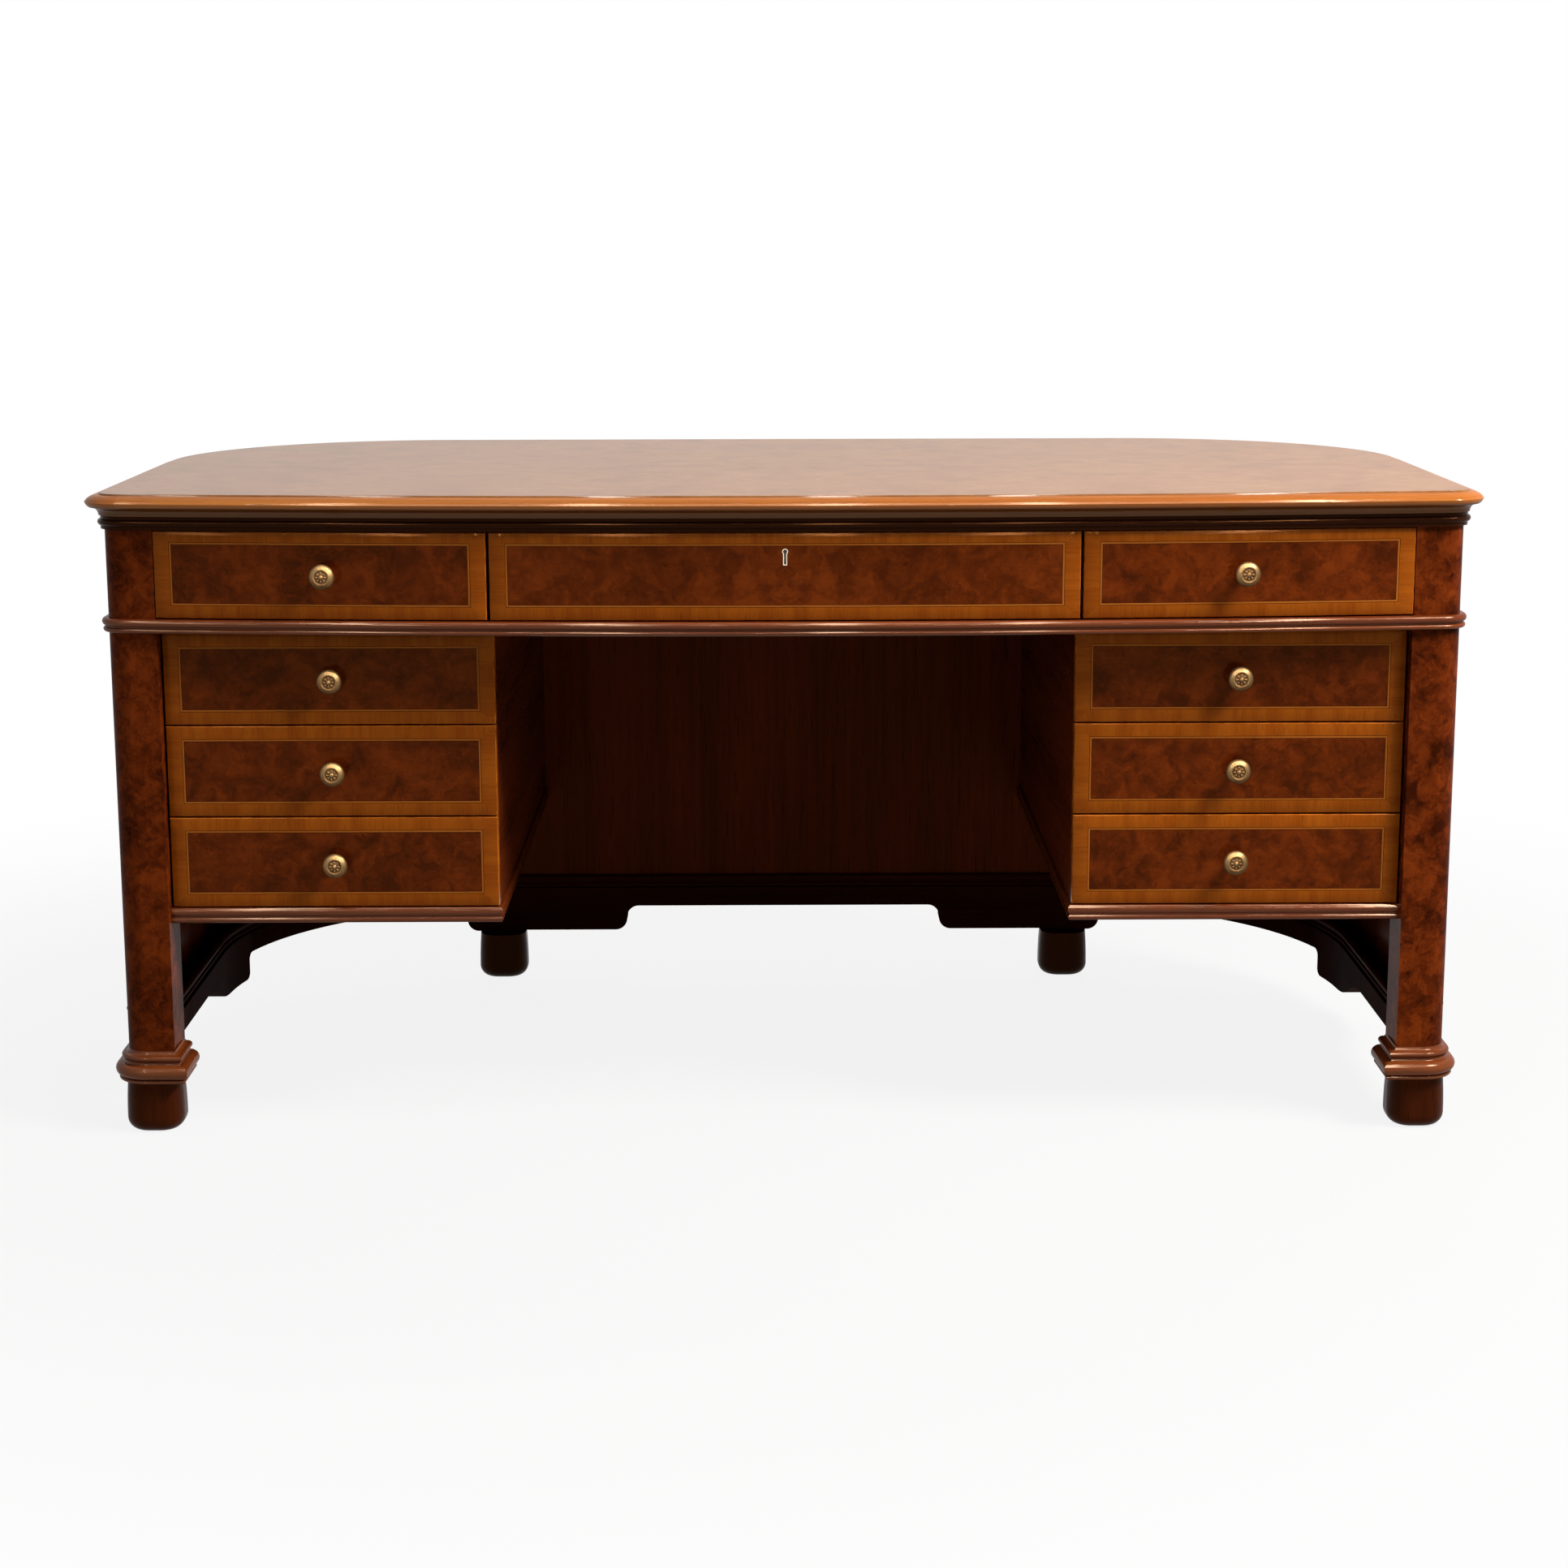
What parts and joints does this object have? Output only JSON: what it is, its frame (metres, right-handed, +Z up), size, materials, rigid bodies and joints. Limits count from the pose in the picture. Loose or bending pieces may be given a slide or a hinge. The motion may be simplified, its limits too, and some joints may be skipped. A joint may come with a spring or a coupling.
{
  "type": "pedestal desk",
  "caption": "Bow-fronted pedestal desk with a rounded back, a kneehole between two banks of drawers and a row of drawers under its veneered top.",
  "frame": {"origin": "on the floor, under the middle of the bounding box", "axes": "+X to the right of someone who sits at the desk, +Y to the curved back, +Z up"},
  "size_m": [1.65, 0.8638, 0.78],
  "materials": {
    "burl_veneer": "high gloss polish over burl veneer with lighter cross-banding",
    "top_veneer": "high gloss polish over burl veneer with banded border",
    "case_veneer": "high gloss polish over dark veneer",
    "moulding_wood": "high gloss polish on solid wood mouldings",
    "inner_wood": "satin wood inside the drawers",
    "brass": "aged polished brass",
    "lock_steel": "brushed"
  },
  "bodies": {
    "carcass": {"back_panel": "case_veneer", "base_mouldings": "moulding_wood", "end_panel_left": "case_veneer", "end_panel_right": "case_veneer", "foot_collars": "moulding_wood", "frieze_back": "inner_wood", "frieze_dividers": "inner_wood", "frieze_floor": "case_veneer", "frieze_moulding": "moulding_wood", "front_feet": "case_veneer", "pedestal_backs": "inner_wood", "pedestal_base_moulding_left": "moulding_wood", "pedestal_base_moulding_right": "moulding_wood", "pedestal_bottom_left": "case_veneer", "pedestal_bottom_right": "case_veneer", "pedestal_inner_side_left": "case_veneer", "pedestal_inner_side_right": "case_veneer", "pedestal_outer_sides": "inner_wood", "pedestal_runners_left": "inner_wood", "pedestal_runners_right": "inner_wood", "plinth": "case_veneer", "post_left": "case_veneer", "post_right": "case_veneer", "rear_corner_left": "case_veneer", "rear_corner_right": "case_veneer", "rear_feet": "case_veneer", "sub_top": "inner_wood", "sub_top_bead": "moulding_wood", "top_lipping": "moulding_wood", "top_panel": "top_veneer"},
    "drawer_lower_left": {"drawer_front_lower_left": "burl_veneer", "drawer_box_lower_left": "inner_wood", "knob_lower_left": "brass"},
    "drawer_lower_right": {"drawer_front_lower_right": "burl_veneer", "drawer_box_lower_right": "inner_wood", "knob_lower_right": "brass"},
    "drawer_centre_left": {"drawer_front_centre_left": "burl_veneer", "drawer_box_centre_left": "inner_wood", "knob_centre_left": "brass"},
    "drawer_centre_right": {"drawer_front_centre_right": "burl_veneer", "drawer_box_centre_right": "inner_wood", "knob_centre_right": "brass"},
    "drawer_upper_left": {"drawer_front_upper_left": "burl_veneer", "drawer_box_upper_left": "inner_wood", "knob_upper_left": "brass"},
    "drawer_upper_right": {"drawer_front_upper_right": "burl_veneer", "drawer_box_upper_right": "inner_wood", "knob_upper_right": "brass"},
    "drawer_frieze_left": {"frieze_front_left": "burl_veneer", "frieze_box_left": "inner_wood", "frieze_knob_left": "brass"},
    "drawer_frieze_right": {"frieze_front_right": "burl_veneer", "frieze_box_right": "inner_wood", "frieze_knob_right": "brass"},
    "drawer_frieze_middle": {"frieze_front_middle": "burl_veneer", "frieze_box_middle": "inner_wood", "keyhole_lining": "brass", "lock_case": "lock_steel"},
    "bolt": {"lock_bolt": "lock_steel"}
  },
  "joints": [
    {"name": "drawer_lower_left_slide", "type": "slide", "parent": "carcass", "child": "drawer_lower_left", "axis": [0, -1, 0], "range_m": [0, 0.35]},
    {"name": "drawer_lower_right_slide", "type": "slide", "parent": "carcass", "child": "drawer_lower_right", "axis": [0, -1, 0], "range_m": [0, 0.35]},
    {"name": "drawer_centre_left_slide", "type": "slide", "parent": "carcass", "child": "drawer_centre_left", "axis": [0, -1, 0], "range_m": [0, 0.35]},
    {"name": "drawer_centre_right_slide", "type": "slide", "parent": "carcass", "child": "drawer_centre_right", "axis": [0, -1, 0], "range_m": [0, 0.35]},
    {"name": "drawer_upper_left_slide", "type": "slide", "parent": "carcass", "child": "drawer_upper_left", "axis": [0, -1, 0], "range_m": [0, 0.35]},
    {"name": "drawer_upper_right_slide", "type": "slide", "parent": "carcass", "child": "drawer_upper_right", "axis": [0, -1, 0], "range_m": [0, 0.35]},
    {"name": "drawer_frieze_left_slide", "type": "slide", "parent": "carcass", "child": "drawer_frieze_left", "axis": [0, -1, 0], "range_m": [0, 0.32]},
    {"name": "drawer_frieze_right_slide", "type": "slide", "parent": "carcass", "child": "drawer_frieze_right", "axis": [0, -1, 0], "range_m": [0, 0.32]},
    {"name": "drawer_frieze_middle_slide", "type": "slide", "parent": "carcass", "child": "drawer_frieze_middle", "axis": [0, -1, 0], "range_m": [0, 0.32]},
    {"name": "bolt_throw", "type": "slide", "parent": "drawer_frieze_middle", "child": "bolt", "axis": [0, 0, 1], "range_m": [0, 0.008]}
  ]
}
